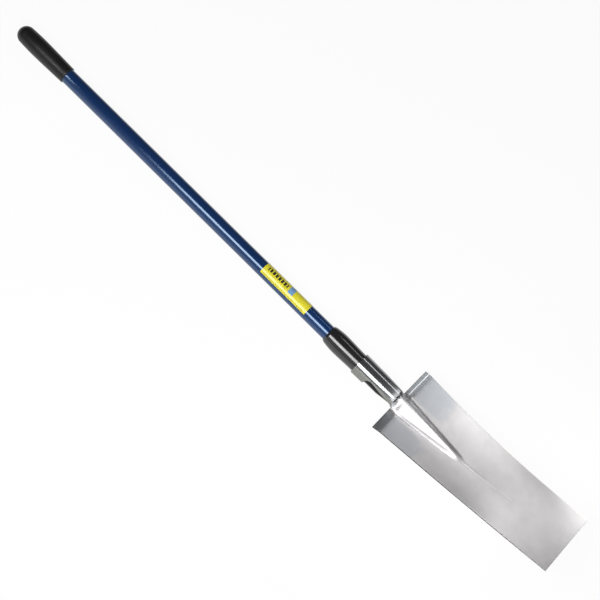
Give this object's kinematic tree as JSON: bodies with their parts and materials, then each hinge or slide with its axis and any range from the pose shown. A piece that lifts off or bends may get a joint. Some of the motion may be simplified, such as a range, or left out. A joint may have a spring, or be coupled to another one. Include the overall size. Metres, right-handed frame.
{
  "type": "trenching spade",
  "caption": "Long-handled trenching spade: narrow pressed steel blade with a roof-shaped rib and open-backed socket, on a blue tube with a moulded sleeve and a domed end grip.",
  "frame": {"origin": "on the floor under the middle of the tool's length, with the tool lying on its back, on its rivets and grip", "axes": "+X along the handle from the grip to the cutting edge, +Y to the right of the blade's face, +Z out of the face"},
  "size_m": [1.404, 0.1596, 0.0907],
  "materials": {
    "steel": "pressed and ground, satin",
    "blue_tube": "blue gloss lacquer on a tube that is assumed to be steel",
    "plug_wood": "turned, bare",
    "black_sleeve": "moulded, satin",
    "black_grip": "moulded, satin",
    "rivet_steel": "zinc plated",
    "yellow_film": "printed film"
  },
  "bodies": {
    "root": {"blade_head": "steel", "handle_tube": "blue_tube", "core_plug": "plug_wood", "socket_sleeve": "black_sleeve", "end_grip": "black_grip", "ear_rivets": "rivet_steel", "label": "yellow_film"}
  },
  "joints": []
}
